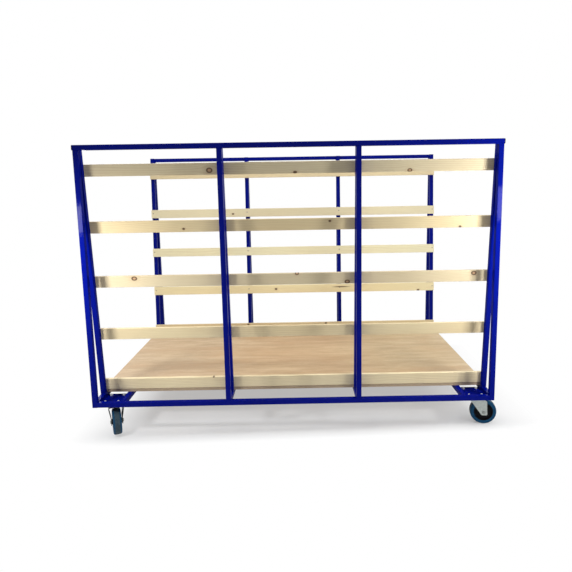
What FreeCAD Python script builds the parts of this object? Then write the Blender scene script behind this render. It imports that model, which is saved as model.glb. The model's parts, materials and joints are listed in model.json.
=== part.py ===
import FreeCAD, Part
import math
import os

# Glazing trolley: two welded box-tube side frames, leaning inner legs that carry timber slats,
# a plywood deck on cross tubes and four swivel castors.
# Millimetres. X runs along the trolley, Y across it, Z up from the floor.

V = FreeCAD.Vector
AXIS_X = V(1, 0, 0)
AXIS_Y = V(0, 1, 0)
AXIS_Z = V(0, 0, 1)
CENTRE = V(0, 0, 0)
FULL_TURN = 360.0
HALF_TURN = 180.0
HEX_SIDES = 6
SCREW_SIDES = 8
OVERRUN = 6.0

# Deck: one full sheet, which sets the length and the clear width of the trolley.
DECK_LENGTH = 2440.0
DECK_WIDTH = 1220.0
DECK_THICKNESS = 18.0
DECK_FIT = 1.0

# Box tube and the side frames.
TUBE = 30.0
TUBE_WALL = 2.0
TUBE_CORNER = 3.0
FRAME_HEIGHT = 1560.0
LEG_FOOT_GAP = 104.0
MID_POST_SHARE = 0.3286  # of the way from the middle to an end post

# Moulded inserts that close the ends of the top rails.
CAP_HEAD = 6.0
CAP_TAPER = 3.0
CAP_PLUG = 14.0
CAP_FIT = 0.2

# Timber slats and their screws.
SLAT_HEIGHT = 70.0
SLAT_THICKNESS = 20.0
SLAT_ARRIS = 2.0
SLAT_DECK_GAP = 1.5
SLAT_RAIL_GAP = 106.5
SLATS_PER_SIDE = 5
SCREW_HEAD_RADIUS = 4.5
SCREW_HEAD_DEPTH = 3.0
SCREW_RADIUS = 2.2
SCREW_LENGTH = 32.0
SCREW_HEIGHT_ON_SLAT = 40.0

# Castor fixing: welded plate in each corner of the base, bolts and nuts.
MOUNT_PLATE_THICKNESS = 6.0
MOUNT_PLATE_EDGE_X = 11.0
MOUNT_PLATE_EDGE_Y = 14.0
BOLT_PITCH_X = 80.0
BOLT_PITCH_Y = 105.0
BOLT_RADIUS = 5.0
BOLT_HOLE_RADIUS = 5.5
BOLT_HEAD_FLATS = 17.0
BOLT_HEAD_HEIGHT = 6.4
BOLT_NUT_HEIGHT = 8.0
BOLT_TAIL = 4.0
NUT_FIT = 0.05

# Castor swivel head.
TOP_PLATE_X = 110.0
TOP_PLATE_Y = 135.0
TOP_PLATE_THICKNESS = 5.0
TOP_PLATE_CORNER = 12.0
HEAD_HEIGHT = 14.0
RACE_OUTER_RADIUS = 40.0
RACE_INNER_RADIUS = 30.0
RACE_TAPER = 3.0
UPPER_RACE_HEIGHT = 6.0
LOWER_RACE_HEIGHT = 3.0
SWIVEL_GAP = 0.3
KINGPIN_RADIUS = 6.0
KINGPIN_HEAD_RADIUS = 11.0
KINGPIN_COLLAR_RADIUS = 12.0
KINGPIN_COLLAR_HEIGHT = 5.0
RUN_FIT = 0.05

# Castor fork, pressed from sheet.
TRAIL = 66.0
FORK_SHEET = 4.0
WHEEL_CLEARANCE = 7.0
FORK_TOP_WIDTH = 94.0
FORK_BEND = 10.0
FORK_FRONT_REACH = 43.0
FORK_LEG_FRONT = 22.0
FORK_REAR_REACH = 60.0
FORK_CROWN_RADIUS = 56.0
FORK_REAR_KNEE = 76.0
FORK_KNEE_REACH = 16.0
FORK_EAR_KNEE = 24.0
EAR_FRONT = 13.0
EAR_REAR = 22.0
EAR_DROP = 18.0
EAR_CORNER = 8.0

# Castor wheel and axle.
WHEEL_RADIUS = 80.0
TYRE_WIDTH = 50.0
TYRE_SHOULDER = 10.0
TYRE_FLANK = 13.0
TYRE_DEPTH = 22.0
TYRE_BOND = 0.05
RIM_WIDTH = 44.0
RIM_WALL = 5.0
WEB_THICKNESS = 12.0
HUB_RADIUS = 19.0
HUB_END_RADIUS = 16.0
HUB_LENGTH = 60.0
HUB_SIDE_GAP = 0.5
SLEEVE_RADIUS = 10.0
AXLE_RADIUS = 6.0
AXLE_HEAD_FLATS = 19.0
AXLE_HEAD_HEIGHT = 4.0
AXLE_NUT_HEIGHT = 5.0
AXLE_TAIL = 1.0

# Way each castor trails as the trolley stands, in degrees from +X.
# The rear pair is the front pair turned about.
TRAIL_ANGLE_A = -66.0
TRAIL_ANGLE_B = -9.0

# Levels and faces that follow from the sizes above.
CROWN_TOP_Z = 2 * WHEEL_RADIUS + WHEEL_CLEARANCE + FORK_SHEET
CASTOR_HEIGHT = CROWN_TOP_Z + HEAD_HEIGHT + TOP_PLATE_THICKNESS
BASE_Z = CASTOR_HEIGHT
BASE_TOP_Z = BASE_Z + TUBE
DECK_TOP_Z = BASE_TOP_Z + DECK_THICKNESS
RAIL_TOP_Z = BASE_Z + FRAME_HEIGHT
RAIL_UNDER_Z = RAIL_TOP_Z - TUBE
LEAN = math.atan(LEG_FOOT_GAP / (FRAME_HEIGHT - TUBE))
LEG_INNER_FOOT_Y = DECK_WIDTH / 2 + DECK_FIT
LEG_MIDDLE_FOOT_Y = LEG_INNER_FOOT_Y + TUBE / math.cos(LEAN) / 2
POST_INNER_Y = LEG_INNER_FOOT_Y + TUBE / math.cos(LEAN) + LEG_FOOT_GAP
POST_MIDDLE_Y = POST_INNER_Y + TUBE / 2
END_X = DECK_LENGTH / 2
END_POST_X = END_X - TUBE / 2
MID_POST_X = MID_POST_SHARE * END_POST_X
MOUNT_PLATE_X = TOP_PLATE_X + 2 * MOUNT_PLATE_EDGE_X
MOUNT_PLATE_Y = TOP_PLATE_Y + 2 * MOUNT_PLATE_EDGE_Y
CASTOR_X = END_X - TUBE - MOUNT_PLATE_X / 2
CASTOR_Y = POST_INNER_Y - MOUNT_PLATE_Y / 2
CASTOR_TUBE_X = CASTOR_X - MOUNT_PLATE_X / 2 - TUBE / 2
SLAT_LOW_Z = DECK_TOP_Z + SLAT_DECK_GAP
SLAT_PITCH = (RAIL_TOP_Z - SLAT_RAIL_GAP - SLAT_HEIGHT - SLAT_LOW_Z) / (SLATS_PER_SIDE - 1)
EAR_INNER = HUB_LENGTH / 2 + HUB_SIDE_GAP
EAR_OUTER = EAR_INNER + FORK_SHEET

POST_PLACES = {
    "left_end": -END_POST_X,
    "left_mid": -MID_POST_X,
    "right_mid": MID_POST_X,
    "right_end": END_POST_X,
}
CASTOR_PLACES = {
    "front_left": (-CASTOR_X, -CASTOR_Y, TRAIL_ANGLE_A),
    "front_right": (CASTOR_X, -CASTOR_Y, TRAIL_ANGLE_B),
    "rear_right": (CASTOR_X, CASTOR_Y, TRAIL_ANGLE_A + HALF_TURN),
    "rear_left": (-CASTOR_X, CASTOR_Y, TRAIL_ANGLE_B + HALF_TURN),
}


def rounded_outline(points, radius, plane):
    """Closed wire through flat points, each corner rounded; radius is one value or one for each point."""
    corners = [plane(a, b) for a, b in points]
    count = len(corners)
    radii = radius if isinstance(radius, list) else [radius] * count
    ends = []
    edges = []
    for i, corner in enumerate(corners):
        before = (corners[i - 1] - corner).normalize()
        after = (corners[(i + 1) % count] - corner).normalize()
        half = before.getAngle(after) / 2
        reach = radii[i] / math.tan(half)
        start, end = corner + before * reach, corner + after * reach
        ends.append((start, end))
        if radii[i] > 0:
            middle = corner + (before + after).normalize() * (radii[i] / math.sin(half) - radii[i])
            edges.append(Part.Arc(start, middle, end).toShape())
    for i, (_, end) in enumerate(ends):
        edges.append(Part.makeLine(end, ends[(i + 1) % count][0]))
    return Part.Wire(Part.__sortEdges__(edges))


def prism(points, radius, plane, along):
    """Solid of a rounded outline carried along a vector."""
    return Part.Face(rounded_outline(points, radius, plane)).extrude(along)


def square_points(width, height):
    """Corners of a rectangle centred on zero."""
    return [
        (-width / 2, -height / 2),
        (width / 2, -height / 2),
        (width / 2, height / 2),
        (-width / 2, height / 2),
    ]


def turned(points, plane, centre, axis, radius=0):
    """Solid of revolution of a flat outline."""
    face = Part.Face(rounded_outline(points, radius, plane))
    return face.revolve(centre, axis, FULL_TURN)


def cylinder(radius, base, along):
    return Part.makeCylinder(radius, along.Length, base, along)


def polygon(sides, radius, base, along):
    """Regular closed outline about base, square to a direction that has no part along X."""
    other = along.cross(AXIS_X).normalize()
    steps = [math.tau * i / sides for i in range(sides)]
    points = [(radius * math.cos(a), radius * math.sin(a)) for a in steps]
    return rounded_outline(points, 0, lambda a, b: base + AXIS_X * a + other * b)


def hexagon(flats, base, along):
    """Hexagonal prism that starts at base."""
    corner = flats / 2 / math.cos(math.pi / HEX_SIDES)
    return Part.Face(polygon(HEX_SIDES, corner, base, along)).extrude(along)


def square_bar(start, along, side, size, corner):
    """Square bar with two faces square to the side vector."""
    across = along.cross(side).normalize()
    return prism(square_points(size, size), corner, lambda a, b: start + side * a + across * b, along)


def bore_of(start, along, side):
    """What is taken out of a box tube to leave its wall."""
    return square_bar(start, along, side, TUBE - 2 * TUBE_WALL, 0)


def tube(start, end, side, start_wall=-OVERRUN):
    """Box tube; a start wall of the tube's own thickness closes that end."""
    along = end - start
    unit = V(along).normalize()
    bore = bore_of(start + unit * start_wall, along + unit * (OVERRUN - start_wall), side)
    return square_bar(start, along, side, TUBE, TUBE_CORNER).cut(bore)


def level_slab(low, high):
    """Everything between two heights."""
    corner = V(-DECK_LENGTH, -DECK_LENGTH, low)
    return Part.makeBox(2 * DECK_LENGTH, 2 * DECK_LENGTH, high - low, corner)


def to_rear(shape):
    """The rear side of the trolley mirrors the front side."""
    return shape.mirror(CENTRE, AXIS_Y)


def top_rail():
    level = RAIL_TOP_Z - TUBE / 2
    return tube(V(-END_X, -POST_MIDDLE_Y, level), V(END_X, -POST_MIDDLE_Y, level), AXIS_Y)


def bottom_rail():
    level = BASE_Z + TUBE / 2
    reach = END_X - TUBE
    return tube(V(-reach, -POST_MIDDLE_Y, level), V(reach, -POST_MIDDLE_Y, level), AXIS_Y)


def end_post(x):
    """Upright that runs down beside the base, closed at its foot."""
    return tube(V(x, -POST_MIDDLE_Y, BASE_Z), V(x, -POST_MIDDLE_Y, RAIL_UNDER_Z), AXIS_X, TUBE_WALL)


def mid_post(x):
    return tube(V(x, -POST_MIDDLE_Y, BASE_TOP_Z), V(x, -POST_MIDDLE_Y, RAIL_UNDER_Z), AXIS_X)


def inner_leg(x):
    """Leaning leg: its foot stands on a cross tube, its head meets the back of the top rail."""
    up = V(0, -math.sin(LEAN), math.cos(LEAN))
    start = V(x, -LEG_MIDDLE_FOOT_Y, BASE_TOP_Z) - up * OVERRUN
    along = up * ((FRAME_HEIGHT - TUBE) / math.cos(LEAN) + 2 * OVERRUN)
    solid = square_bar(start, along, AXIS_X, TUBE, TUBE_CORNER)
    bore = bore_of(start, along, AXIS_X).common(level_slab(BASE_Z, RAIL_TOP_Z - TUBE_WALL))
    return solid.common(level_slab(BASE_TOP_Z, RAIL_TOP_Z)).cut(bore)


def cross_tubes(x):
    """Pair of base tubes that run across the trolley, one at each end."""
    level = BASE_Z + TUBE / 2
    return [tube(V(s * x, -POST_INNER_Y, level), V(s * x, POST_INNER_Y, level), AXIS_X) for s in (-1, 1)]


def deck():
    corner = V(-DECK_LENGTH / 2, -DECK_WIDTH / 2, BASE_TOP_Z)
    return Part.makeBox(DECK_LENGTH, DECK_WIDTH, DECK_THICKNESS, corner)


def slat_frame(index):
    """Lower edge of a slat on the legs' inner faces, with the inward and the upward direction there."""
    level = SLAT_LOW_Z + index * SLAT_PITCH
    edge = V(0, -LEG_INNER_FOOT_Y - (level - BASE_TOP_Z) * math.tan(LEAN), level)
    return edge, V(0, math.cos(LEAN), math.sin(LEAN)), V(0, -math.sin(LEAN), math.cos(LEAN))


def slat(index):
    edge, inward, up = slat_frame(index)
    middle = edge + inward * (SLAT_THICKNESS / 2) + up * (SLAT_HEIGHT / 2) - AXIS_X * END_X
    points = square_points(SLAT_THICKNESS, SLAT_HEIGHT)
    return prism(points, SLAT_ARRIS, lambda a, b: middle + inward * a + up * b, AXIS_X * DECK_LENGTH)


def slat_screw(index, x):
    """Countersunk screw, flush in the slat's inner face, through it and into the leg."""
    edge, inward, up = slat_frame(index)
    head = edge + inward * SLAT_THICKNESS + up * SCREW_HEIGHT_ON_SLAT + AXIS_X * x
    depths = ((SCREW_HEAD_RADIUS, 0), (SCREW_RADIUS, SCREW_HEAD_DEPTH), (SCREW_RADIUS, SCREW_LENGTH))
    rings = [polygon(SCREW_SIDES, radius, head - inward * depth, inward) for radius, depth in depths]
    return Part.makeLoft(rings, True, True)


def rail_end_cap(sign):
    """Insert with a tapered head that closes one end of the top rail."""
    middle = V(sign * END_X, -POST_MIDDLE_Y, RAIL_TOP_Z - TUBE / 2)
    outward = AXIS_X * sign
    straight = CAP_HEAD - CAP_TAPER

    def flat(a, b):
        return middle + AXIS_Y * a + AXIS_Z * b

    head = prism(square_points(TUBE, TUBE), TUBE_CORNER, flat, outward * straight)
    top_size = TUBE - 2 * CAP_TAPER
    outlines = [
        rounded_outline(
            square_points(size, size), TUBE_CORNER, lambda a, b, d=d: flat(a, b) + outward * d
        )
        for size, d in ((TUBE, straight), (top_size, CAP_HEAD))
    ]
    taper = Part.makeLoft(outlines, True, True)
    plug_size = TUBE - 2 * TUBE_WALL - 2 * CAP_FIT
    plug = prism(square_points(plug_size, plug_size), 0, flat, outward * -CAP_PLUG)
    return head.fuse([taper, plug]).removeSplitter()


def bolt_places(x, y):
    """Centres of the four bolts of one castor."""
    return [
        (x + i * BOLT_PITCH_X / 2, y + j * BOLT_PITCH_Y / 2)
        for i in (-1, 1)
        for j in (-1, 1)
    ]


def drill(shape, places, radius, low, high):
    """Cuts upright holes through a shape between two heights, with overrun."""
    depth = AXIS_Z * (high - low + 2 * OVERRUN)
    return shape.cut([cylinder(radius, V(x, y, low - OVERRUN), depth) for x, y in places])


def castor_mount_plate(x, y):
    """Plate welded between the end tube, the castor tube and the bottom rail."""
    corner = V(x - MOUNT_PLATE_X / 2, y - MOUNT_PLATE_Y / 2, BASE_Z)
    plate = Part.makeBox(MOUNT_PLATE_X, MOUNT_PLATE_Y, MOUNT_PLATE_THICKNESS, corner)
    return drill(plate, bolt_places(x, y), BOLT_HOLE_RADIUS, BASE_Z, BASE_Z + MOUNT_PLATE_THICKNESS)


def castor_bolt(x, y):
    """Hexagon bolt put in from below, its head under the castor's top plate."""
    seat = BASE_Z - TOP_PLATE_THICKNESS
    length = TOP_PLATE_THICKNESS + MOUNT_PLATE_THICKNESS + BOLT_NUT_HEIGHT + BOLT_TAIL
    shank = cylinder(BOLT_RADIUS, V(x, y, seat), AXIS_Z * length)
    return shank.fuse(hexagon(BOLT_HEAD_FLATS, V(x, y, seat), AXIS_Z * -BOLT_HEAD_HEIGHT))


def castor_nut(x, y):
    """Nut on the mount plate."""
    seat = BASE_Z + MOUNT_PLATE_THICKNESS
    nut = hexagon(BOLT_HEAD_FLATS, V(x, y, seat), AXIS_Z * BOLT_NUT_HEIGHT)
    return drill(nut, [(x, y)], BOLT_RADIUS + NUT_FIT, seat, seat + BOLT_NUT_HEIGHT)


def upright(a, b):
    """Half section plane for pieces turned about the swivel axis."""
    return V(a, 0, b)


def castor_top_plate():
    """Pressed plate with the upper ball track below it and a countersunk seat for the kingpin."""
    under = CASTOR_HEIGHT - TOP_PLATE_THICKNESS
    base = V(0, 0, under)
    plate = prism(
        square_points(TOP_PLATE_X, TOP_PLATE_Y),
        TOP_PLATE_CORNER,
        lambda a, b: base + AXIS_X * a + AXIS_Y * b,
        AXIS_Z * TOP_PLATE_THICKNESS,
    )
    track = [
        (RACE_INNER_RADIUS - RACE_TAPER, under),
        (RACE_OUTER_RADIUS + RACE_TAPER, under),
        (RACE_OUTER_RADIUS, under - UPPER_RACE_HEIGHT),
        (RACE_INNER_RADIUS, under - UPPER_RACE_HEIGHT),
    ]
    plate = plate.fuse(turned(track, upright, CENTRE, AXIS_Z))
    plate = plate.cut(kingpin(RUN_FIT))
    return drill(plate, bolt_places(0, 0), BOLT_HOLE_RADIUS, under, CASTOR_HEIGHT)


def kingpin(extra=0.0):
    """Riveted pin that holds the fork to the top plate; extra widens it where it is used as a cutter."""
    under = CASTOR_HEIGHT - TOP_PLATE_THICKNESS
    collar_top = CROWN_TOP_Z - FORK_SHEET - SWIVEL_GAP
    collar_low = collar_top - KINGPIN_COLLAR_HEIGHT
    points = [
        (0, CASTOR_HEIGHT),
        (KINGPIN_HEAD_RADIUS + extra, CASTOR_HEIGHT),
        (KINGPIN_RADIUS + extra, under),
        (KINGPIN_RADIUS + extra, collar_top),
        (KINGPIN_COLLAR_RADIUS, collar_top),
        (KINGPIN_COLLAR_RADIUS, collar_low),
        (0, collar_low),
    ]
    return turned(points, upright, CENTRE, AXIS_Z)


def ball_race():
    """Ring of balls and cage, shown as one ring between the two tracks."""
    top = CASTOR_HEIGHT - TOP_PLATE_THICKNESS - UPPER_RACE_HEIGHT
    low = CROWN_TOP_Z + LOWER_RACE_HEIGHT + SWIVEL_GAP
    points = [
        (RACE_INNER_RADIUS, low),
        (RACE_OUTER_RADIUS, low),
        (RACE_OUTER_RADIUS, top),
        (RACE_INNER_RADIUS, top),
    ]
    return turned(points, upright, CENTRE, AXIS_Z)


def fork():
    """Bent sheet with a flat crown, legs that draw in to the axle and a swept-back side outline."""
    inner_top = FORK_TOP_WIDTH / 2 - FORK_SHEET
    knee = WHEEL_RADIUS + FORK_EAR_KNEE
    foot = WHEEL_RADIUS - EAR_DROP
    crown_under = CROWN_TOP_Z - FORK_SHEET
    right = [
        (FORK_TOP_WIDTH / 2, CROWN_TOP_Z, FORK_BEND),
        (EAR_OUTER, knee, FORK_BEND),
        (EAR_OUTER, foot, 0),
        (EAR_INNER, foot, 0),
        (EAR_INNER, knee, FORK_BEND),
        (inner_top, crown_under, FORK_BEND - FORK_SHEET),
    ]
    section = right + [(-q, z, r) for q, z, r in reversed(right)]
    tail = TRAIL + EAR_REAR
    start = -FORK_FRONT_REACH - OVERRUN
    sheet = prism(
        [(q, z) for q, z, _ in section],
        [r for _, _, r in section],
        lambda q, z: V(start, q, z),
        AXIS_X * (tail + OVERRUN - start),
    )
    above = CROWN_TOP_Z + OVERRUN
    side = [
        (-FORK_FRONT_REACH, above, 0),
        (-FORK_FRONT_REACH, crown_under, 0),
        (-FORK_LEG_FRONT, crown_under, 0),
        (TRAIL - EAR_FRONT, foot, EAR_CORNER),
        (tail, foot, EAR_CORNER),
        (TRAIL + FORK_KNEE_REACH, WHEEL_RADIUS + FORK_REAR_KNEE, EAR_CORNER),
        (FORK_REAR_REACH, CROWN_TOP_Z, 0),
        (FORK_REAR_REACH, above, 0),
    ]
    profile = prism(
        [(s, z) for s, z, _ in side],
        [r for _, _, r in side],
        lambda s, z: V(s, -FORK_TOP_WIDTH, z),
        AXIS_Y * (2 * FORK_TOP_WIDTH),
    )
    round_front = cylinder(FORK_CROWN_RADIUS, CENTRE, AXIS_Z * CASTOR_HEIGHT)
    behind = Part.makeBox(
        tail + OVERRUN, 2 * FORK_TOP_WIDTH, CASTOR_HEIGHT, V(0, -FORK_TOP_WIDTH, 0)
    )
    track = turned(
        [
            (RACE_INNER_RADIUS, CROWN_TOP_Z),
            (RACE_OUTER_RADIUS, CROWN_TOP_Z),
            (RACE_OUTER_RADIUS, CROWN_TOP_Z + LOWER_RACE_HEIGHT),
            (RACE_INNER_RADIUS, CROWN_TOP_Z + LOWER_RACE_HEIGHT),
        ],
        upright,
        CENTRE,
        AXIS_Z,
    )
    pressed = sheet.common(profile).common(round_front.fuse(behind)).fuse(track)
    pressed = drill(pressed, [(0, 0)], KINGPIN_RADIUS + RUN_FIT, crown_under, CROWN_TOP_Z)
    axle_hole = cylinder(
        AXLE_RADIUS + NUT_FIT, V(TRAIL, -FORK_TOP_WIDTH, WHEEL_RADIUS), AXIS_Y * (2 * FORK_TOP_WIDTH)
    )
    return pressed.cut(axle_hole).removeSplitter()


def axle():
    """Bolt through both ears, its nut, and the sleeve that the wheel turns on."""
    middle = V(TRAIL, 0, WHEEL_RADIUS)
    head = middle - AXIS_Y * EAR_OUTER
    grip = 2 * EAR_OUTER + AXLE_NUT_HEIGHT + AXLE_TAIL
    bolt = cylinder(AXLE_RADIUS, head, AXIS_Y * grip)
    bolt = bolt.fuse(hexagon(AXLE_HEAD_FLATS, head, AXIS_Y * -AXLE_HEAD_HEIGHT))
    hole = cylinder(AXLE_RADIUS + NUT_FIT, head, AXIS_Y * grip)
    nut = hexagon(AXLE_HEAD_FLATS, middle + AXIS_Y * EAR_OUTER, AXIS_Y * AXLE_NUT_HEIGHT).cut(hole)
    sleeve = cylinder(SLEEVE_RADIUS, middle - AXIS_Y * EAR_INNER, AXIS_Y * (2 * EAR_INNER)).cut(hole)
    return Part.makeCompound([bolt, nut, sleeve])


def wheel_turned(half):
    """Piece turned about the axle; the half section holds each corner's place, radius and rounding."""
    centre = V(TRAIL, 0, WHEEL_RADIUS)
    section = half + [(-q, r, rounding) for q, r, rounding in reversed(half)]
    points = [(q, r) for q, r, _ in section]
    roundings = [rounding for _, _, rounding in section]
    return turned(points, lambda q, r: centre + AXIS_Y * q + AXIS_Z * r, centre, AXIS_Y, roundings)


def tyre():
    """Solid tyre with rounded shoulders and flanks that draw in to the wheel centre."""
    return wheel_turned(
        [
            (TYRE_WIDTH / 2, WHEEL_RADIUS, TYRE_SHOULDER),
            (TYRE_WIDTH / 2, WHEEL_RADIUS - TYRE_FLANK, 0),
            (RIM_WIDTH / 2, WHEEL_RADIUS - TYRE_DEPTH, 0),
        ]
    )


def rim():
    """Dished wheel centre with a long hub."""
    outer = WHEEL_RADIUS - TYRE_DEPTH - TYRE_BOND
    return wheel_turned(
        [
            (RIM_WIDTH / 2, outer, 0),
            (RIM_WIDTH / 2, outer - RIM_WALL, 0),
            (WEB_THICKNESS / 2, HUB_RADIUS, 0),
            (HUB_LENGTH / 2, HUB_END_RADIUS, 0),
            (HUB_LENGTH / 2, SLEEVE_RADIUS + RUN_FIT, 0),
        ]
    )


def at_castor(shape, place, turns=True):
    """Copy of a castor piece at its corner; pieces of the swivel are also turned to trail."""
    x, y, angle = place
    moved = shape.copy()
    if turns:
        moved.rotate(CENTRE, AXIS_Z, angle)
    moved.translate(V(x, y, 0))
    return moved


def build():
    """Every node of the trolley by name."""
    nodes = {}
    for side, turn in (("front", lambda shape: shape), ("rear", to_rear)):
        nodes[f"{side}_top_rail"] = turn(top_rail())
        nodes[f"{side}_bottom_rail"] = turn(bottom_rail())
        for place, x in POST_PLACES.items():
            post = end_post(x) if place.endswith("end") else mid_post(x)
            nodes[f"{side}_{place}_post"] = turn(post)
            nodes[f"{side}_{place}_leg"] = turn(inner_leg(x))
        for index in range(SLATS_PER_SIDE):
            nodes[f"{side}_slat_{index + 1}"] = turn(slat(index))

    nodes["deck"] = deck()
    nodes["end_cross_tubes"] = Part.makeCompound(cross_tubes(END_POST_X))
    nodes["mid_cross_tubes"] = Part.makeCompound(cross_tubes(MID_POST_X))
    nodes["castor_cross_tubes"] = Part.makeCompound(cross_tubes(CASTOR_TUBE_X))
    caps = [rail_end_cap(sign) for sign in (-1, 1)]
    nodes["rail_end_caps"] = Part.makeCompound(caps + [to_rear(cap) for cap in caps])
    screws = [slat_screw(i, x) for i in range(SLATS_PER_SIDE) for x in POST_PLACES.values()]
    nodes["slat_screws"] = Part.makeCompound(screws + [to_rear(screw) for screw in screws])

    corners = [(x, y) for x, y, _ in CASTOR_PLACES.values()]
    bolts = [place for x, y in corners for place in bolt_places(x, y)]
    nodes["castor_mount_plates"] = Part.makeCompound([castor_mount_plate(x, y) for x, y in corners])
    nodes["castor_bolts"] = Part.makeCompound([castor_bolt(x, y) for x, y in bolts])
    nodes["castor_nuts"] = Part.makeCompound([castor_nut(x, y) for x, y in bolts])

    fixed = {
        "castor_top_plates": castor_top_plate(),
        "castor_kingpins": kingpin(),
        "castor_ball_races": ball_race(),
    }
    for name, shape in fixed.items():
        copies = [at_castor(shape, place, turns=False) for place in CASTOR_PLACES.values()]
        nodes[name] = Part.makeCompound(copies)
    turning = {"fork": fork(), "axle": axle(), "rim": rim(), "tyre": tyre()}
    for corner, place in CASTOR_PLACES.items():
        for name, shape in turning.items():
            nodes[f"{corner}_{name}"] = at_castor(shape, place)
    return nodes


os.makedirs("parts", exist_ok=True)
for node, shape in build().items():
    shape.exportStep(f"parts/{node}.step")
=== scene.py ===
import json
import math
import random
from functools import partial

import bmesh
import bpy
from mathutils import Matrix, Vector


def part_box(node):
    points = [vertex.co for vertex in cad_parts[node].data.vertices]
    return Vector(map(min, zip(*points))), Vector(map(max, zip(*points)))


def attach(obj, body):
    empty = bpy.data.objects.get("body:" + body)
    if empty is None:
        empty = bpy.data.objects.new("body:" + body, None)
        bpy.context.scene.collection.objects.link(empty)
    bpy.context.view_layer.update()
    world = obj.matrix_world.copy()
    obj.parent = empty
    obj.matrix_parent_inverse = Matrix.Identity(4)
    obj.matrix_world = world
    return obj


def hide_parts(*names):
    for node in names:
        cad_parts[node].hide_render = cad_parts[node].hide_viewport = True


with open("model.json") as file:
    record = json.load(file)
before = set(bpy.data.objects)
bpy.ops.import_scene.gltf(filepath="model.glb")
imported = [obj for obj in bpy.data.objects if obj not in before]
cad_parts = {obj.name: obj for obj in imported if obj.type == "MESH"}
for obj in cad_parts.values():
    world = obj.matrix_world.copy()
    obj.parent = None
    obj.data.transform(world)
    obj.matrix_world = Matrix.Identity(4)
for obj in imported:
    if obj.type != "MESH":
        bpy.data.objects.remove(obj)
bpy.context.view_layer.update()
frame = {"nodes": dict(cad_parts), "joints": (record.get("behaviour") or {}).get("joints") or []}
NODES = frame["nodes"]
MM = 0.001
TUBE = 30.0 * MM
WHEEL_MAP = "wheel"
SIDES = ("front", "rear")
PLACES = ("left_end", "left_mid", "right_mid", "right_end")
SLATS = 5


# Node materials.


class Shader:
    """Small builder of one node material."""

    def __init__(self, name):
        self.material = bpy.data.materials.new(name)
        self.material.use_nodes = True
        self.tree = self.material.node_tree
        self.tree.nodes.clear()
        self.out = self.node("ShaderNodeOutputMaterial")
        self.surface = self.node("ShaderNodeBsdfPrincipled")
        self.link(self.surface.outputs[0], self.out.inputs["Surface"])
        self.place = self.node("ShaderNodeTexCoord").outputs["Object"]

    def link(self, source, target):
        self.tree.links.new(source, target)

    def node(self, kind, inputs=None, **settings):
        made = self.tree.nodes.new(kind)
        for key, value in settings.items():
            setattr(made, key, value)
        for key, value in (inputs or {}).items():
            socket = made.inputs[key]
            if isinstance(value, bpy.types.NodeSocket):
                self.link(value, socket)
            else:
                socket.default_value = value
        return made

    def sum(self, operation, a, b=0.0, c=0.0, clamp=False):
        made = self.node("ShaderNodeMath", {0: a, 1: b, 2: c}, operation=operation, use_clamp=clamp)
        return made.outputs[0]

    def dot(self, a, b):
        return self.node("ShaderNodeVectorMath", {0: a, 1: b}, operation="DOT_PRODUCT").outputs["Value"]

    def axes(self, vector=None):
        return self.node("ShaderNodeSeparateXYZ", {0: vector or self.place}).outputs

    def stretched(self, scale, offset=(0, 0, 0)):
        inputs = {"Vector": self.place, "Scale": scale, "Location": offset}
        return self.node("ShaderNodeMapping", inputs).outputs[0]

    def noise(self, vector, scale, detail=2.0, roughness=0.5, distortion=0.0):
        inputs = {"Vector": vector, "Scale": scale, "Detail": detail}
        inputs.update({"Roughness": roughness, "Distortion": distortion})
        return self.node("ShaderNodeTexNoise", inputs).outputs[0]

    def span(self, value, low, high, to_low=0.0, to_high=1.0):
        inputs = {0: value, 1: low, 2: high, 3: to_low, 4: to_high}
        return self.node("ShaderNodeMapRange", inputs, clamp=True).outputs[0]

    def blend(self, factor, a, b, mode="MIX"):
        made = self.node("ShaderNodeMix", data_type="RGBA", blend_type=mode)
        for index, value in ((0, factor), (6, a), (7, b)):
            if isinstance(value, bpy.types.NodeSocket):
                self.link(value, made.inputs[index])
            else:
                made.inputs[index].default_value = value if index == 0 else (*value, 1.0)
        return made.outputs[2]

    def bump(self, height, strength, distance):
        made = self.node("ShaderNodeBump", {"Height": height, "Strength": strength, "Distance": distance})
        self.link(made.outputs[0], self.surface.inputs["Normal"])

    def set(self, **values):
        for key, value in values.items():
            socket = self.surface.inputs[key.replace("_", " ")]
            if isinstance(value, bpy.types.NodeSocket):
                self.link(value, socket)
            elif isinstance(value, tuple):
                socket.default_value = (*value, 1.0)
            else:
                socket.default_value = value


def paint():
    """Gloss ultramarine powder coat with a fine orange-peel skin and a little dust low down.
    Its gloss is a thin coat, which shows more at very flat angles."""
    s = Shader("frame_paint")
    cloud = s.noise(s.place, 3.0, 3.0)
    peel = s.noise(s.place, 420.0, 1.0)
    scuff = s.noise(s.stretched((9.0, 9.0, 2.0)), 6.0, 6.0, 0.7)
    colour = s.blend(s.span(cloud, 0.3, 0.7), (0.0003, 0.0042, 0.188), (0.0006, 0.0062, 0.243))
    height = s.axes()[2]
    dust = s.sum("MULTIPLY", s.span(height, 0.26, 0.19), s.span(scuff, 0.45, 0.75, 0.0, 0.014))
    colour = s.blend(dust, colour, (0.30, 0.30, 0.32))
    rubbed = s.span(scuff, 0.62, 0.78)
    facing = s.node("ShaderNodeLayerWeight", {"Blend": 0.5}).outputs["Facing"]
    gloss = s.sum("MULTIPLY_ADD", rubbed, 0.10, s.span(cloud, 0.3, 0.7, 0.09, 0.14))
    s.set(
        Base_Color=colour,
        Roughness=gloss,
        Specular_IOR_Level=0.0,
        Coat_Weight=s.span(facing, 0.60, 0.85, 0.085, 0.28),
        Coat_Roughness=gloss,
    )
    s.bump(s.sum("MULTIPLY_ADD", scuff, 0.3, peel), 0.02, 0.0006)
    return s.material


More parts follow.
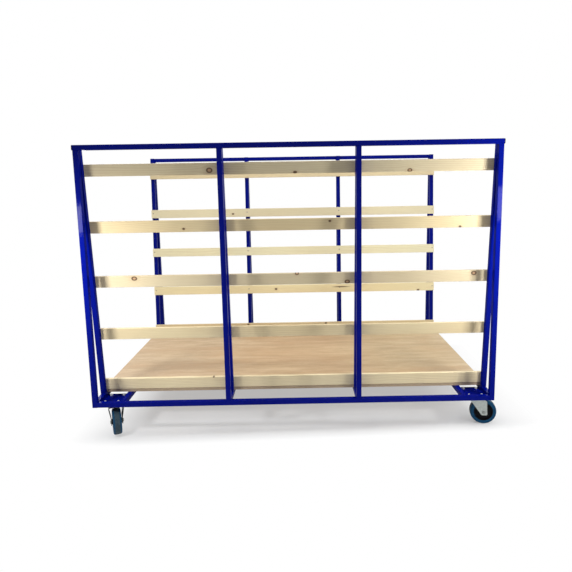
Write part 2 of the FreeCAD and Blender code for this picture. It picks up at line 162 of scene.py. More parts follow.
def zinc(name, light, dark, rough, metal=1.0, joint=None):
    """Zinc-plated steel: faint spangle, brushed streaks and dull patches.
    With a wheel's joint, faces that look towards the wheel are darkened to near black: painted shade between
    fork and wheel."""
    s = Shader(name)
    spangle = s.node("ShaderNodeTexVoronoi", {"Vector": s.place, "Scale": 160.0}).outputs["Color"]
    grey = s.node("ShaderNodeRGBToBW", {0: spangle}).outputs[0]
    streak = s.noise(s.stretched((300.0, 300.0, 25.0)), 3.0, 4.0, 0.6)
    patch = s.noise(s.place, 28.0, 4.0, 0.6)
    tone = s.sum("MULTIPLY_ADD", grey, 0.35, s.sum("MULTIPLY", patch, 0.65))
    colour = s.blend(s.span(tone, 0.25, 0.7), dark, light)
    if joint:
        axle, centre = Vector(joint["axis"]).normalized(), Vector(joint["pos_m"])
        normal = s.node("ShaderNodeTexCoord").outputs["Normal"]
        facing, across = s.dot(normal, axle), s.dot(s.place, axle)
        outward = s.sum("MULTIPLY", facing, s.sum("SUBTRACT", across, centre.dot(axle)))
        # Painted shade: faces that look towards the wheel fade to near black, 0.045.
        painted_wheel_shade = s.span(outward, 0.020, 0.008, 0.0, 0.90)
        colour = s.blend(painted_wheel_shade, colour, (0.045, 0.047, 0.042))
    s.set(
        Base_Color=colour,
        Metallic=metal,
        Roughness=s.sum("MULTIPLY_ADD", patch, 0.22, s.sum("MULTIPLY_ADD", streak, 0.14, rough - 0.18)),
    )
    s.bump(s.sum("MULTIPLY_ADD", streak, 0.5, grey), 0.08, 0.0002)
    return s.material


def moulding(name, colour, rough):
    """Black moulded plastic with a fine spark-eroded grain."""
    s = Shader(name)
    grain = s.noise(s.place, 900.0, 2.0)
    cloud = s.noise(s.place, 20.0, 3.0)
    paler = tuple(min(1.0, 1.7 * c + 0.004) for c in colour)
    s.set(
        Base_Color=s.blend(s.span(cloud, 0.35, 0.75), colour, paler),
        Roughness=s.span(cloud, 0.3, 0.7, rough - 0.07, rough + 0.08),
        Specular_IOR_Level=0.06,
    )
    s.bump(grain, 0.15, 0.0002)
    return s.material


def rubber():
    """Tyre: blue-teal sides and a greyer, rubbed tread; the map's U is the distance across the wheel."""
    s = Shader("tyre_rubber")
    spread = s.node("ShaderNodeUVMap", uv_map=WHEEL_MAP).outputs["UV"]
    across = s.sum("ABSOLUTE", s.axes(spread)[0])
    tread = s.span(across, 0.0180, 0.0125)
    worn = s.noise(s.place, 55.0, 5.0, 0.65)
    streak = s.noise(s.place, 160.0, 3.0)
    side = s.blend(s.span(worn, 0.3, 0.7), (0.004, 0.045, 0.105), (0.008, 0.068, 0.145))
    rolled = s.blend(s.span(streak, 0.3, 0.7), (0.026, 0.046, 0.060), (0.062, 0.088, 0.102))
    amount = s.sum("MULTIPLY", tread, s.span(worn, 0.25, 0.6, 0.75, 1.0))
    s.set(
        Base_Color=s.blend(amount, side, rolled),
        Roughness=s.span(worn, 0.3, 0.7, 0.48, 0.66),
        Specular_IOR_Level=0.15,
    )
    s.bump(s.sum("MULTIPLY_ADD", streak, 0.5, worn), 0.12, 0.0006)
    return s.material


STREAK = 3.0  # a knot that is longer than this many widths is a dark streak
RINGED = 0.008  # knots above this radius have a pale eye
BOARD_END = 1.2194, 1.2199  # distance from the middle where the sawn end starts and is full


def pine(name, foot, seed, knots, tone):
    """Planed softwood board with the grain along X. foot is the height of its lower edge;
    knots are (place along X, height on the board, radius, length over width) in metres, and tone multiplies
    the board's colours: partly its own tone, partly painted light that brightens or darkens the whole board."""
    s = Shader(name)
    draw = random.Random(seed)
    shift = draw.uniform(0, 50)
    x, _, z = s.axes()
    high = s.sum("SUBTRACT", z, foot)
    bend, core, halo, eye = 0.0, 0.0, 0.0, 0.0
    for along, up, radius, aspect in knots:
        dx = s.sum("MULTIPLY", s.sum("SUBTRACT", x, along), 1.0 / (aspect * radius))
        rise = s.sum("SUBTRACT", high, up)
        dz = s.sum("MULTIPLY", rise, 1.0 / radius)
        square = s.sum("MULTIPLY_ADD", dx, dx, s.sum("MULTIPLY", dz, dz))
        distance = s.sum("SQRT", square)
        if aspect > STREAK:
            core = s.sum("MAXIMUM", core, s.span(distance, 1.3, 0.5))
            continue
        far = s.sum("EXPONENT", s.sum("MULTIPLY", square, -0.09))
        bend = s.sum("MULTIPLY_ADD", s.sum("MULTIPLY", rise, -0.8), far, bend)
        core = s.sum("MAXIMUM", core, s.span(distance, 1.15, 0.95))
        halo = s.sum("MAXIMUM", halo, s.span(distance, 2.6, 0.9))
        if radius > RINGED:
            eye = s.sum("MAXIMUM", eye, s.span(distance, 0.66, 0.46))
    drift = s.noise(s.stretched((0.9, 4.0, 4.0), (shift, 0, 0)), 1.0, 2.0)
    lines = s.noise(s.stretched((5.0, 60.0, 60.0), (shift, 3.0, 0)), 1.0, 3.0)
    level = s.sum("ADD", high, bend)
    level = s.sum("MULTIPLY_ADD", drift, 0.09, level)
    level = s.sum("MULTIPLY_ADD", lines, 0.006, level)
    ring = s.sum("SINE", s.sum("MULTIPLY", level, math.tau * draw.uniform(75, 110)))
    late = s.span(ring, 0.1, 1.0)
    fibre = s.noise(s.stretched((14.0, 700.0, 700.0), (shift, 0, 0)), 1.0, 3.0, 0.6)
    wash = s.noise(s.stretched((1.3, 8.0, 8.0), (shift, 9.0, 0)), 1.0, 2.0)
    warm = draw.uniform(0.25, 0.6)

    def shade(*colour):
        return tuple(min(1.0, t * c) for t, c in zip(tone, colour))

    early, warmer = shade(0.840, 0.715, 0.450), shade(0.790, 0.625, 0.360)
    colour = s.blend(s.span(wash, 0.3, 0.7, 0.0, warm), early, warmer)
    late_share = s.sum("MULTIPLY", late, s.span(wash, 0.3, 0.7, 0.22, 0.42))
    colour = s.blend(late_share, colour, (0.610, 0.430, 0.225))
    colour = s.blend(s.span(fibre, 0.45, 0.75, 0.0, 0.20), colour, (0.560, 0.420, 0.250))
    colour = s.blend(s.sum("MULTIPLY", halo, 0.24), colour, (0.500, 0.300, 0.130))
    whorl = s.noise(s.stretched((120.0, 260.0, 260.0)), 1.0, 3.0)
    heart = s.blend(s.span(whorl, 0.3, 0.7), (0.040, 0.016, 0.007), (0.115, 0.046, 0.018))
    heart = s.blend(s.sum("MULTIPLY", eye, 0.88), heart, (0.640, 0.400, 0.225))
    colour = s.blend(s.sum("MULTIPLY", core, 0.92), colour, heart)
    ends = s.span(s.sum("ABSOLUTE", x), *BOARD_END)
    arcs = s.sum("SINE", s.sum("MULTIPLY_ADD", drift, 30.0, s.sum("MULTIPLY", high, 1500.0)))
    sawn = s.blend(s.span(arcs, -0.4, 1.0, 0.2, 0.75), (0.640, 0.490, 0.300), (0.400, 0.260, 0.130))
    s.set(
        Base_Color=s.blend(ends, colour, sawn),
        Roughness=s.span(fibre, 0.3, 0.7, 0.50, 0.66),
        Specular_IOR_Level=0.35,
    )
    s.bump(s.sum("MULTIPLY_ADD", late, 0.5, fibre), 0.16, 0.0006)
    return s.material


def plywood():
    """Rotary-cut veneer with long contour figure on the faces and thin plies on the edges."""
    s = Shader("plywood")
    low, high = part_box("deck")
    x, _, z = s.axes()
    field = s.noise(s.stretched((0.35, 3.4, 3.4), (4.0, 2.0, 0)), 1.0, 5.0, 0.6, 0.5)
    contour = s.sum("SINE", s.sum("MULTIPLY", field, 42.0))
    figure = s.span(contour, -0.4, 1.0)
    band = s.noise(s.stretched((1.3, 6.0, 6.0), (1.0, 5.0, 0)), 1.0, 6.0, 0.72, 0.6)
    streak = s.noise(s.stretched((3.6, 34.0, 34.0), (7.0, 1.0, 0)), 1.0, 6.0, 0.78, 0.5)
    fibre = s.noise(s.stretched((9.0, 420.0, 420.0)), 1.0, 4.0, 0.6)
    pore = s.noise(s.stretched((26.0, 900.0, 900.0), (3.0, 0, 0)), 1.0, 2.0)
    cloud = s.noise(s.stretched((1.0, 2.2, 1.0)), 1.4, 3.0)
    colour = s.blend(s.span(cloud, 0.3, 0.7), (0.655, 0.490, 0.305), (0.600, 0.430, 0.258))
    colour = s.blend(s.span(band, 0.42, 0.66, 0.0, 0.80), colour, (0.500, 0.350, 0.215))
    pale = s.noise(s.stretched((1.5, 7.5, 7.5), (21.0, 8.0, 0)), 1.0, 6.0, 0.72, 0.6)
    colour = s.blend(s.span(pale, 0.48, 0.70, 0.0, 0.75), colour, (0.765, 0.600, 0.400))
    figured = s.sum("MULTIPLY", figure, s.span(cloud, 0.3, 0.7, 0.07, 0.24))
    colour = s.blend(figured, colour, (0.455, 0.300, 0.165))
    colour = s.blend(s.span(streak, 0.48, 0.72, 0.0, 0.52), colour, (0.415, 0.270, 0.155))
    colour = s.blend(s.span(streak, 0.48, 0.26, 0.0, 0.52), colour, (0.790, 0.625, 0.430))
    colour = s.blend(s.span(fibre, 0.42, 0.72, 0.0, 0.24), colour, (0.715, 0.530, 0.350))
    colour = s.blend(s.span(pore, 0.60, 0.72, 0.0, 0.45), colour, (0.360, 0.190, 0.090))
    blush = s.noise(s.stretched((1.2, 4.2, 4.2), (11.0, 3.0, 0)), 1.0, 6.0, 0.72, 0.6)
    colour = s.blend(s.span(blush, 0.48, 0.68, 0.0, 0.55), colour, (0.545, 0.330, 0.185))
    drift = s.sum("MULTIPLY_ADD", blush, 0.8, s.sum("SUBTRACT", x, 0.4))
    tint = s.blend(s.span(drift, -0.70, -0.20), (0.985, 0.995, 1.0), (0.955, 0.920, 0.860))
    tint = s.blend(s.span(drift, 0.25, 0.70), tint, (0.955, 0.995, 0.950))
    colour = s.blend(1.0, colour, tint, "MULTIPLY")
    plies = 13
    step = s.sum("MULTIPLY", s.sum("SUBTRACT", z, low.z), plies / (high.z - low.z))
    odd = s.span(s.sum("PINGPONG", step, 1.0), 0.42, 0.58)
    crumb = s.noise(s.stretched((260.0, 260.0, 500.0)), 1.0, 3.0)
    ply = s.blend(odd, (0.680, 0.540, 0.380), (0.400, 0.280, 0.175))
    ply = s.blend(s.span(crumb, 0.35, 0.75, 0.0, 0.30), ply, (0.220, 0.145, 0.090))
    normal = s.node("ShaderNodeNewGeometry").outputs["Normal"]
    upright = s.span(s.sum("ABSOLUTE", s.axes(normal)[2]), 0.7, 0.4)
    s.set(
        Base_Color=s.blend(upright, colour, ply),
        Roughness=s.span(fibre, 0.3, 0.7, 0.52, 0.68),
        Specular_IOR_Level=0.35,
    )
    s.bump(s.sum("MULTIPLY_ADD", pore, -0.6, fibre), 0.14, 0.0006)
    return s.material


# Mesh helpers.


def mesh_object(name, body, material, build, smooth=True):
    """New piece that rides a body: build fills its mesh."""
    made = bmesh.new()
    build(made)
    mesh = bpy.data.meshes.new(name)
    made.normal_update()
    made.to_mesh(mesh)
    made.free()
    for polygon in mesh.polygons:
        polygon.use_smooth = smooth
    mesh.materials.append(material)
    piece = bpy.data.objects.new(name, mesh)
    bpy.context.scene.collection.objects.link(piece)
    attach(piece, body)
    return piece


def lathe(made, profile, segments, centre, axle):
    """Closed section (across, radius) turned about an axle, with a map of (across, share of a turn)."""
    up = Vector((0, 0, 1))
    ahead = axle.cross(up)
    spread = made.loops.layers.uv.new(WHEEL_MAP)
    rings = []
    for i in range(segments):
        a = math.tau * i / segments
        out = ahead * math.cos(a) + up * math.sin(a)
        rings.append([made.verts.new(centre + axle * q + out * r) for q, r in profile])
    count = len(profile)
    for i, ring in enumerate(rings):
        after = rings[(i + 1) % segments]
        for k in range(count):
            m = (k + 1) % count
            face = made.faces.new((ring[k], after[k], after[m], ring[m]))
            places = ((k, i), (k, i + 1), (m, i + 1), (m, i))
            for loop, (row, column) in zip(face.loops, places):
                loop[spread].uv = (profile[row][0], column / segments)
    bmesh.ops.recalc_face_normals(made, faces=made.faces)


def mirrored(half):
    """Closed section in metres from its one half in millimetres."""
    return [(q * MM, r * MM) for q, r in half] + [(-q * MM, r * MM) for q, r in reversed(half)]


MERGE = 0.02 * MM
EDGE_SEGMENTS = 2
EDGE_ANGLE = math.radians(32)


def soften(node, width):
    """Rounds the hard edges of a CAD node for the eye, without touching its mesh."""
    piece = NODES[node]
    weld = piece.modifiers.new("weld", "WELD")
    weld.merge_threshold = MERGE
    bevel = piece.modifiers.new("edge", "BEVEL")
    bevel.width = width
    bevel.segments = EDGE_SEGMENTS
    bevel.limit_method = "ANGLE"
    bevel.angle_limit = EDGE_ANGLE
    bevel.use_clamp_overlap = True
    piece.modifiers.new("normals", "WEIGHTED_NORMAL")


def dress(node, material):
    slots = NODES[node].data.materials
    slots.clear()
    slots.append(material)


# Materials on the CAD nodes.

blue = paint()
FORK_ZINC = (0.45, 0.485, 0.46), (0.29, 0.32, 0.31), 0.42
SPINS = {j["name"].removesuffix("_spin"): j for j in frame["joints"] if j["name"].endswith("_spin")}
bright = zinc("zinc", *FORK_ZINC)
# A darker copy of the zinc for the axles: painted shade for the dark ring round the axle ends.
axle_zinc = zinc("axle_zinc", (0.30, 0.32, 0.30), (0.17, 0.18, 0.175), 0.42)
# A lighter, partly matt copy of the zinc for the bolts and nuts, so they show as bright dots: painted
# highlight.
bolt_zinc = zinc("bolt_zinc", (0.86, 0.88, 0.90), (0.70, 0.73, 0.75), 0.50, 0.45)
dark_zinc = zinc("screw_zinc", (0.16, 0.16, 0.16), (0.07, 0.07, 0.075), 0.42)
caps = moulding("cap_plastic", (0.006, 0.006, 0.008), 0.46)
wheel_black = moulding("wheel_centre", (0.004, 0.004, 0.005), 0.42)
tyre_blue = rubber()

KNOTS = {
    "front_slat_5": [(-0.466, 0.026, 0.0150, 1.2), (0.032, 0.008, 0.007, 1.6), (0.701, 0.009, 0.010, 1.4)],
    "front_slat_4": [(-0.637, 0.019, 0.006, 1.3), (0.233, 0.052, 0.006, 1.3), (1.011, 0.006, 0.006, 1.3)],
    "front_slat_3": [
        (-0.955, 0.054, 0.0125, 1.35),
        (0.032, 0.068, 0.009, 1.3),
        (0.338, 0.012, 0.0115, 1.35),
        (1.110, 0.052, 0.0125, 1.3),
    ],
    "front_slat_2": [],
    "front_slat_1": [(-0.508, 0.069, 0.003, 1.6)],
    "rear_slat_5": [(0.310, 0.040, 0.008, 1.3), (-0.820, 0.055, 0.006, 1.3)],
    "rear_slat_4": [(-0.518, 0.027, 0.007, 1.3)],
    "rear_slat_3": [],
    "rear_slat_2": [(-0.160, 0.036, 0.008, 1.3), (0.408, 0.047, 0.005, 14.0), (1.082, 0.006, 0.008, 1.3)],
    "rear_slat_1": [(-0.409, 0.062, 0.006, 1.6), (0.271, 0.062, 0.006, 1.6)],
}

# Colour multipliers per board: partly the boards' own tones, partly painted light that lifts the lowest
# front slat and the rear slats and tones down front slats 3 to 5 a little.
BOARD_TONES_AND_PAINTED_LIGHT = {
    "front_slat_5": (0.96, 0.985, 1.04),
    "front_slat_4": (0.98, 0.965, 0.93),
    "front_slat_3": (0.92, 0.93, 0.985),
    "front_slat_1": (1.17, 1.20, 1.25),
    "rear_slat_4": (1.10, 1.18, 1.29),
    "rear_slat_3": (1.18, 1.33, 1.47),
    "rear_slat_2": (1.20, 1.25, 1.24),
}

for node in NODES:
    if node.endswith(("_post", "_leg", "_rail", "_tubes")) or node == "castor_mount_plates":
        dress(node, blue)
    elif node in ("castor_bolts", "castor_nuts"):
        dress(node, bolt_zinc)
    elif node.endswith("_fork"):
        corner = node.removesuffix("_fork")
        dress(node, zinc(f"{corner}_zinc", *FORK_ZINC, joint=SPINS[corner]))
    elif node.endswith("_axle"):
        dress(node, axle_zinc)
    elif node in ("castor_top_plates", "castor_kingpins", "castor_ball_races"):
        dress(node, bright)
    elif node == "rail_end_caps":
        dress(node, caps)
    elif node == "deck":
        dress(node, plywood())

for seed, (node, knots) in enumerate(sorted(KNOTS.items())):
    dress(node, pine(node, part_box(node)[0].z, seed, knots, BOARD_TONES_AND_PAINTED_LIGHT.get(node, (1.0, 1.0, 1.0))))

for node in NODES:
    if node.endswith("_fork"):
        soften(node, 0.8 * MM)
    elif node.endswith("_axle") or node in ("castor_bolts", "castor_nuts"):
        soften(node, 0.7 * MM)
    elif node in ("castor_top_plates", "castor_mount_plates", "rail_end_caps", "deck"):
        soften(node, 0.6 * MM)


# Wheels.

WHEEL_SEGMENTS = 112
# Half sections as (across, radius) in millimetres.
TYRE = mirrored(
    [
        (0.0, 80.0), (6.0, 79.95), (12.0, 79.7), (16.5, 79.1), (20.0, 77.9), (22.6, 75.9),
        (24.2, 73.2), (24.9, 70.2), (24.9, 67.2), (23.8, 63.6), (22.8, 60.8), (22.2, 59.2),
        (21.9, 58.1),
    ]
)[1:]
RIM = mirrored(
    [
        (19.0, 57.9), (21.4, 57.9), (21.9, 57.2), (21.9, 55.0), (21.0, 53.6), (16.5, 51.8),
        (10.8, 46.5), (7.6, 39.0), (6.8, 30.0), (7.6, 24.0), (10.5, 20.6), (16.0, 19.0),
        (27.4, 16.6), (29.3, 16.0), (30.0, 15.2), (30.0, 11.2), (29.3, 10.3),
    ]
)

for corner, joint in SPINS.items():
    axle = Vector(joint["axis"]).normalized()
    centre = Vector(joint["pos_m"])
    for kind, section, slot, material in (
        ("tyre", TYRE, "tyre_rubber", tyre_blue),
        ("rim", RIM, "wheel_centre", wheel_black),
    ):
        name, body = f"{corner}_{kind}_turned", f"{corner}_wheel"
        build = partial(lathe, profile=section, segments=WHEEL_SEGMENTS, centre=centre, axle=axle)
        piece = mesh_object(name, body, material, build)
        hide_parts(f"{corner}_{kind}")


# Slat screws.


def level_range(node, top):
    """Lowest and highest Y of a node's vertices at its top or its foot."""
    low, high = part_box(node)
    level = high.z if top else low.z
    ys = [v.co.y for v in NODES[node].data.vertices if abs(v.co.z - level) < 0.0001]
    return min(ys), max(ys)


def lean_of(node):
    foot, head = level_range(node, False)[1], level_range(node, True)[1]
    low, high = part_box(node)
    return math.atan2(abs(head - foot), high.z - low.z)


LEAN = lean_of("front_left_end_leg")
SCREW_OUT, SCREW_UP = 10.0 * MM, 5.0 * MM  # from the middle of a slat


def screw(made, where):
    """Countersunk head with a cross recess, flush with the local XY plane."""
    sides, proud = 20, 0.05 * MM
    arm, half, deep, taper = 2.3 * MM, 0.55 * MM, 1.5 * MM, 0.75
    rim, crown, neck = (
        [made.verts.new(where @ polar(radius, i / sides, height)) for i in range(sides)]
        for radius, height in ((4.4 * MM, -0.25 * MM), (4.0 * MM, proud), (2.0 * MM, -3.2 * MM))
    )
    cross = []
    for quarter in range(4):
        for a, b in ((arm, -half), (arm, half), (half, half)):
            spin = Matrix.Rotation(quarter * math.pi / 2, 4, "Z")
            cross.append(spin @ Vector((a, b, proud)))
    mouth = [made.verts.new(where @ p) for p in cross]
    floor = [made.verts.new(where @ Vector((taper * p.x, taper * p.y, -deep))) for p in cross]
    edges = []
    for ring in (crown, mouth):
        edges += [made.edges.new((ring[i], ring[(i + 1) % len(ring)])) for i in range(len(ring))]
    bmesh.ops.triangle_fill(made, use_beauty=True, use_dissolve=False, edges=edges)
    for low, high in ((neck, rim), (rim, crown), (mouth, floor)):
        count = len(low)
        for i in range(count):
            made.faces.new((low[i], low[(i + 1) % count], high[(i + 1) % count], high[i]))
    made.faces.new(floor)
    made.faces.new(neck)


def polar(radius, share, height):
    return Vector((radius * math.cos(math.tau * share), radius * math.sin(math.tau * share), height))


def all_screws(made):
    """One screw where each slat crosses a leg, on the face that looks into the bay."""
    draw = random.Random(7)
    for side in SIDES:
        sign = -1 if side == "front" else 1
        inward = Vector((0, -sign * math.cos(LEAN), math.sin(LEAN)))
        up = Vector((0, sign * math.sin(LEAN), math.cos(LEAN)))
        for index in range(SLATS):
            low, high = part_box(f"{side}_slat_{index + 1}")
            middle = (low + high) / 2 + inward * SCREW_OUT + up * SCREW_UP
            for place in PLACES:
                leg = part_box(f"{side}_{place}_leg")
                middle.x = (leg[0].x + leg[1].x) / 2
                across = up.cross(inward)
                basis = Matrix((across, up, across.cross(up))).transposed().to_4x4()
                turn = Matrix.Rotation(draw.uniform(0, math.tau), 4, "Z")
                screw(made, Matrix.Translation(middle) @ basis @ turn)
    bmesh.ops.recalc_face_normals(made, faces=made.faces)


screws = mesh_object("slat_screw_heads", "frame", dark_zinc, all_screws, smooth=False)
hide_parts("slat_screws")


# Weld beads.

BEAD, HEAD_BEAD, PLATE_BEAD = 3.0 * MM, 2.6 * MM, 2.4 * MM
BEAD_SIDES = 8
STEP = 1.6 * MM
RIPPLE = 4.4 * MM
INSET = 2.5 * MM  # from a tube's edge to the end of a bead
HEAD_RUN = 27.0 * MM
PLATE_X, PLATE_Y = 132.0 * MM, 163.0 * MM
PLATE_GAP = 8.0 * MM  # from a plate's corner to the end of a bead


def bead(made, start, end, draw, radius=BEAD):
    """Fillet bead in a corner: a tapered, rippled run of weld metal."""
    along = end - start
    length = along.length
    along.normalize()
    side = along.orthogonal().normalized()
    other = along.cross(side)
    count = max(4, round(length / STEP))
    phase = draw.uniform(0, math.tau)
    rings = []
    for i in range(count + 1):
        share = i / count
        swell = 1.0 + 0.13 * math.sin(phase + math.tau * share * length / RIPPLE) + draw.uniform(-0.06, 0.06)
        fade = min(1.0, 0.25 + 6.0 * share, 0.25 + 6.0 * (1.0 - share))
        r = radius * swell * fade
        centre = start + along * (length * share)
        turns = [math.tau * k / BEAD_SIDES for k in range(BEAD_SIDES)]
        outs = [side * (r * math.cos(a)) + other * (r * math.sin(a)) for a in turns]
        rings.append([made.verts.new(centre + out) for out in outs])
    for a, b in zip(rings, rings[1:]):
        for k in range(BEAD_SIDES):
            m = (k + 1) % BEAD_SIDES
            made.faces.new((a[k], a[m], b[m], b[k]))
    made.faces.new(list(reversed(rings[0])))
    made.faces.new(rings[-1])


def side_welds(side):
    """Beads of one side frame: post heads, mid post feet, rail ends, leg heads and leg feet."""

    def build(made):
        draw = random.Random(11 if side == "front" else 12)
        for place in PLACES:
            low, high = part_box(f"{side}_{place}_post")
            inner_x = {"left_end": (high.x,), "right_end": (low.x,)}.get(place, (low.x, high.x))
            base_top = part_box(f"{side}_bottom_rail")[1].z
            for x in inner_x:
                for z in (high.z, base_top):
                    bead(made, Vector((x, low.y + INSET, z)), Vector((x, high.y - INSET, z)), draw)
            leg_low, leg_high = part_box(f"{side}_{place}_leg")
            face = high.y if side == "front" else low.y
            for x in (leg_low.x, leg_high.x):
                head = Vector((x, face, leg_high.z - INSET))
                bead(made, Vector((x, face, leg_high.z - HEAD_RUN)), head, draw, HEAD_BEAD)
            for y in level_range(f"{side}_{place}_leg", False):
                foot = leg_low.z
                bead(made, Vector((leg_low.x + INSET, y, foot)), Vector((leg_high.x - INSET, y, foot)), draw)
        bmesh.ops.recalc_face_normals(made, faces=made.faces)

    return build


def base_welds(made):
    """Beads where the cross tubes meet the rails and posts, and round the castor mount plates."""
    draw = random.Random(13)
    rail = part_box("front_bottom_rail")
    inner_y = -rail[1].y
    base_low, base_top = rail[0].z, rail[1].z
    for node in ("mid_cross_tubes", "castor_cross_tubes"):
        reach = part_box(node)[1].x
        for x in (reach, reach - TUBE):
            for i in (-1, 1):
                for j in (-1, 1):
                    start = Vector((i * x, j * inner_y, base_low + INSET))
                    bead(made, start, Vector((i * x, j * inner_y, base_top - INSET)), draw)
    end_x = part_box("end_cross_tubes")[1].x
    plate_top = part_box("castor_mount_plates")[1].z
    plate_x, plate_y = end_x - TUBE, inner_y - PLATE_Y
    for i in (-1, 1):
        for j in (-1, 1):
            start = Vector((i * (end_x - TUBE + INSET), j * inner_y, base_top))
            bead(made, start, Vector((i * (end_x - INSET), j * inner_y, base_top)), draw)
            for x in (plate_x, plate_x - PLATE_X):
                start = Vector((i * x, j * (inner_y - PLATE_GAP), plate_top))
                end = Vector((i * x, j * (plate_y + PLATE_GAP), plate_top))
                bead(made, start, end, draw, PLATE_BEAD)
            start = Vector((i * (plate_x - PLATE_GAP), j * inner_y, plate_top))
            end = Vector((i * (plate_x - PLATE_X + PLATE_GAP), j * inner_y, plate_top))
            bead(made, start, end, draw, PLATE_BEAD)
    bmesh.ops.recalc_face_normals(made, faces=made.faces)


for name, build in (
    ("front_weld_beads", side_welds("front")),
    ("rear_weld_beads", side_welds("rear")),
    ("base_weld_beads", base_welds),
):
    mesh_object(name, "frame", blue, build)


# Floor, light and camera.


def seen_rays(tree):
    """One where a ray comes straight from the eye, from a gloss or through glass."""
    path = tree.nodes.new("ShaderNodeLightPath")
    total = path.outputs["Is Camera Ray"]
    for name in ("Is Glossy Ray", "Is Transmission Ray"):
        most = tree.nodes.new("ShaderNodeMath")
        most.operation = "MAXIMUM"
        tree.links.new(total, most.inputs[0])
        tree.links.new(path.outputs[name], most.inputs[1])
        total = most.outputs[0]
    return total


def floor():
    """Pale floor that keeps the trolley's shadow: its white glow falls off towards the trolley's plan."""
    s = Shader("floor")
    grain = s.noise(s.place, 30.0, 4.0)
    s.set(
        Base_Color=s.blend(grain, (0.785, 0.792, 0.80), (0.815, 0.822, 0.83)),
        Roughness=0.9,
        Specular_IOR_Level=0.0,
    )
    glow = s.node("ShaderNodeEmission", {"Color": (1, 1, 1, 1), "Strength": 1.0})
    x, y, _ = s.axes()
    # Painted shadow: the glow's outline is shifted and tilted to follow the trolley's shadow, and along both
    # long sides it dips from a share of 0.44 to 0.24 before rising to white, a darker painted shadow edge.
    shift_x, slope, end_fade, side_fade = 0.10, 0.045, (1.06, 1.46), (0.725, 0.84)
    painted_shadow_edge = 0.58, 0.72, 0.44, 0.24
    past_x = s.span(s.sum("ABSOLUTE", s.sum("SUBTRACT", x, shift_x)), *end_fade)
    from_y = s.sum("ABSOLUTE", s.sum("MULTIPLY_ADD", x, -slope, y))
    past_y = s.span(from_y, *side_fade)
    square = s.sum("MULTIPLY_ADD", past_x, past_x, s.sum("MULTIPLY", past_y, past_y))
    out = s.sum("SQRT", square, clamp=True)
    shade = s.sum("SUBTRACT", 1.0, s.span(from_y, *painted_shadow_edge))
    lit = s.sum("SUBTRACT", 1.0, s.sum("MULTIPLY", shade, s.sum("SUBTRACT", 1.0, out)))
    part = s.sum("MULTIPLY", seen_rays(s.tree), lit)
    mix = s.node("ShaderNodeMixShader", {0: part, 1: s.surface.outputs[0], 2: glow.outputs[0]})
    s.link(mix.outputs[0], s.out.inputs["Surface"])
    mesh = bpy.data.meshes.new("floor")
    half = 30.0
    corners = [(-half, -half, 0), (half, -half, 0), (half, half, 0), (-half, half, 0)]
    mesh.from_pydata(corners, [], [(0, 1, 2, 3)])
    mesh.materials.append(s.material)
    piece = bpy.data.objects.new("floor", mesh)
    bpy.context.scene.collection.objects.link(piece)


def sky(strength):
    """White surround: full white to the eye and to gloss, softer as light."""
    world = bpy.data.worlds.new("studio")
    world.use_nodes = True
    tree = world.node_tree
    tree.nodes.clear()
    out = tree.nodes.new("ShaderNodeOutputWorld")
    seen, light = (tree.nodes.new("ShaderNodeBackground") for _ in range(2))
    mix = tree.nodes.new("ShaderNodeMixShader")
    for node, level in ((seen, 1.0), (light, strength)):
        node.inputs["Color"].default_value = (1, 1, 1, 1)
        node.inputs["Strength"].default_value = level
    tree.links.new(seen_rays(tree), mix.inputs[0])
    tree.links.new(light.outputs[0], mix.inputs[1])
    tree.links.new(seen.outputs[0], mix.inputs[2])
    tree.links.new(mix.outputs[0], out.inputs["Surface"])
    bpy.context.scene.world = world


def lamp(name, place, aim, size, watts, in_gloss=True, in_matt=True, cone=180.0):
    """Soft rectangular lamp that the eye can't see; cone is its spread in degrees."""
    data = bpy.data.lights.new(name, "AREA")
    data.shape = "RECTANGLE"
    data.size, data.size_y = size
    data.energy = watts
    data.spread = math.radians(cone)
    piece = bpy.data.objects.new(name, data)
    piece.location = place
    piece.rotation_euler = (Vector(aim) - Vector(place)).to_track_quat("-Z", "Y").to_euler()
    piece.visible_camera = False
    piece.visible_glossy = in_gloss
    piece.visible_diffuse = in_matt
    bpy.context.scene.collection.objects.link(piece)


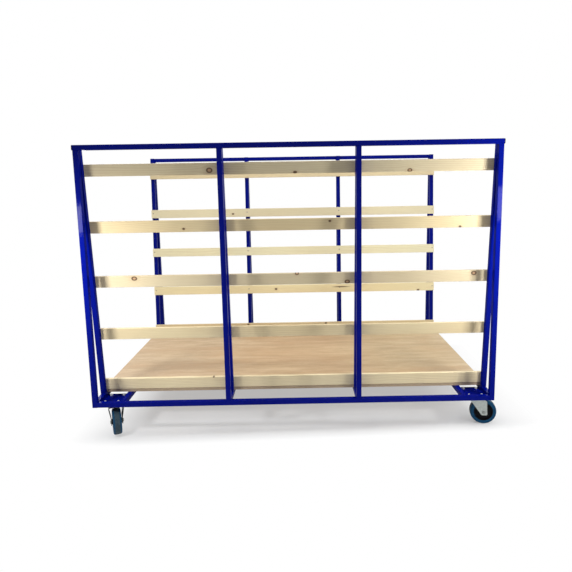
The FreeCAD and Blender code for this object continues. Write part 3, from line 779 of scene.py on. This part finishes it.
def camera():
    """The photograph's view, measured from the frame's own edges."""
    place = 0.04873, -3.62194, 1.50871
    yaw, pitch, roll = 0.00638, 0.13924, -0.01633
    focal, image = 494.792, 572.0
    middle_u, middle_v = 302.480, 253.945
    forward = Vector((math.sin(yaw) * math.cos(pitch), math.cos(yaw) * math.cos(pitch), -math.sin(pitch)))
    right = Vector((math.cos(yaw), -math.sin(yaw), 0))
    up = right.cross(forward)
    across = right * math.cos(roll) + up * math.sin(roll)
    above = up * math.cos(roll) - right * math.sin(roll)
    data = bpy.data.cameras.new("camera")
    data.sensor_width = 36.0
    data.lens = focal / image * data.sensor_width
    data.shift_x = (image / 2 - middle_u) / image
    data.shift_y = (middle_v - image / 2) / image
    data.clip_end = 200.0
    piece = bpy.data.objects.new("camera", data)
    turn = Matrix((across, above, -forward)).transposed().to_4x4()
    piece.matrix_world = Matrix.Translation(place) @ turn
    bpy.context.scene.collection.objects.link(piece)
    bpy.context.scene.camera = piece


floor()
sky(0.17)
lamp("left_lamp", (-1.60, -1.43, 1.28), (-0.5, 0, 0.45), (0.20, 0.20), 5.7, in_gloss=False, cone=112.0)
lamp("left_glint", (-1.52, -1.43, 1.29), (-1.2, -0.77, 1.3), (0.12, 0.19), 0.16, in_matt=False, cone=44.0)
lamp("right_lamp", (1.55, -1.28, 1.30), (0, 0.6, 1.1), (0.20, 0.20), 6.2, in_gloss=False)
lamp("right_strip", (1.57, -1.28, 1.15), (0, 0.6, 1.2), (0.20, 1.60), 6.8, in_gloss=False)
lamp("right_glint", (1.45, -1.28, 1.36), (1.2, -0.77, 1.35), (0.12, 0.22), 0.16, in_matt=False, cone=44.0)
lamp("left_rear_window", (-2.60, 1.50, 1.30), (0, 0, 0.8), (1.10, 0.90), 24.0)
lamp("right_rear_window", (2.56, 1.50, 1.30), (0, 0, 0.8), (1.10, 0.90), 24.0)
lamp("overhead", (0, -0.40, 3.40), (0, -0.20, 0), (3.0, 2.5), 68.0)
lamp("floor_bounce", (0, -1.90, 0.12), (0, -0.60, 0.30), (3.2, 0.2), 2.9, in_gloss=False)
camera()
bpy.context.scene.view_settings.view_transform = "Standard"
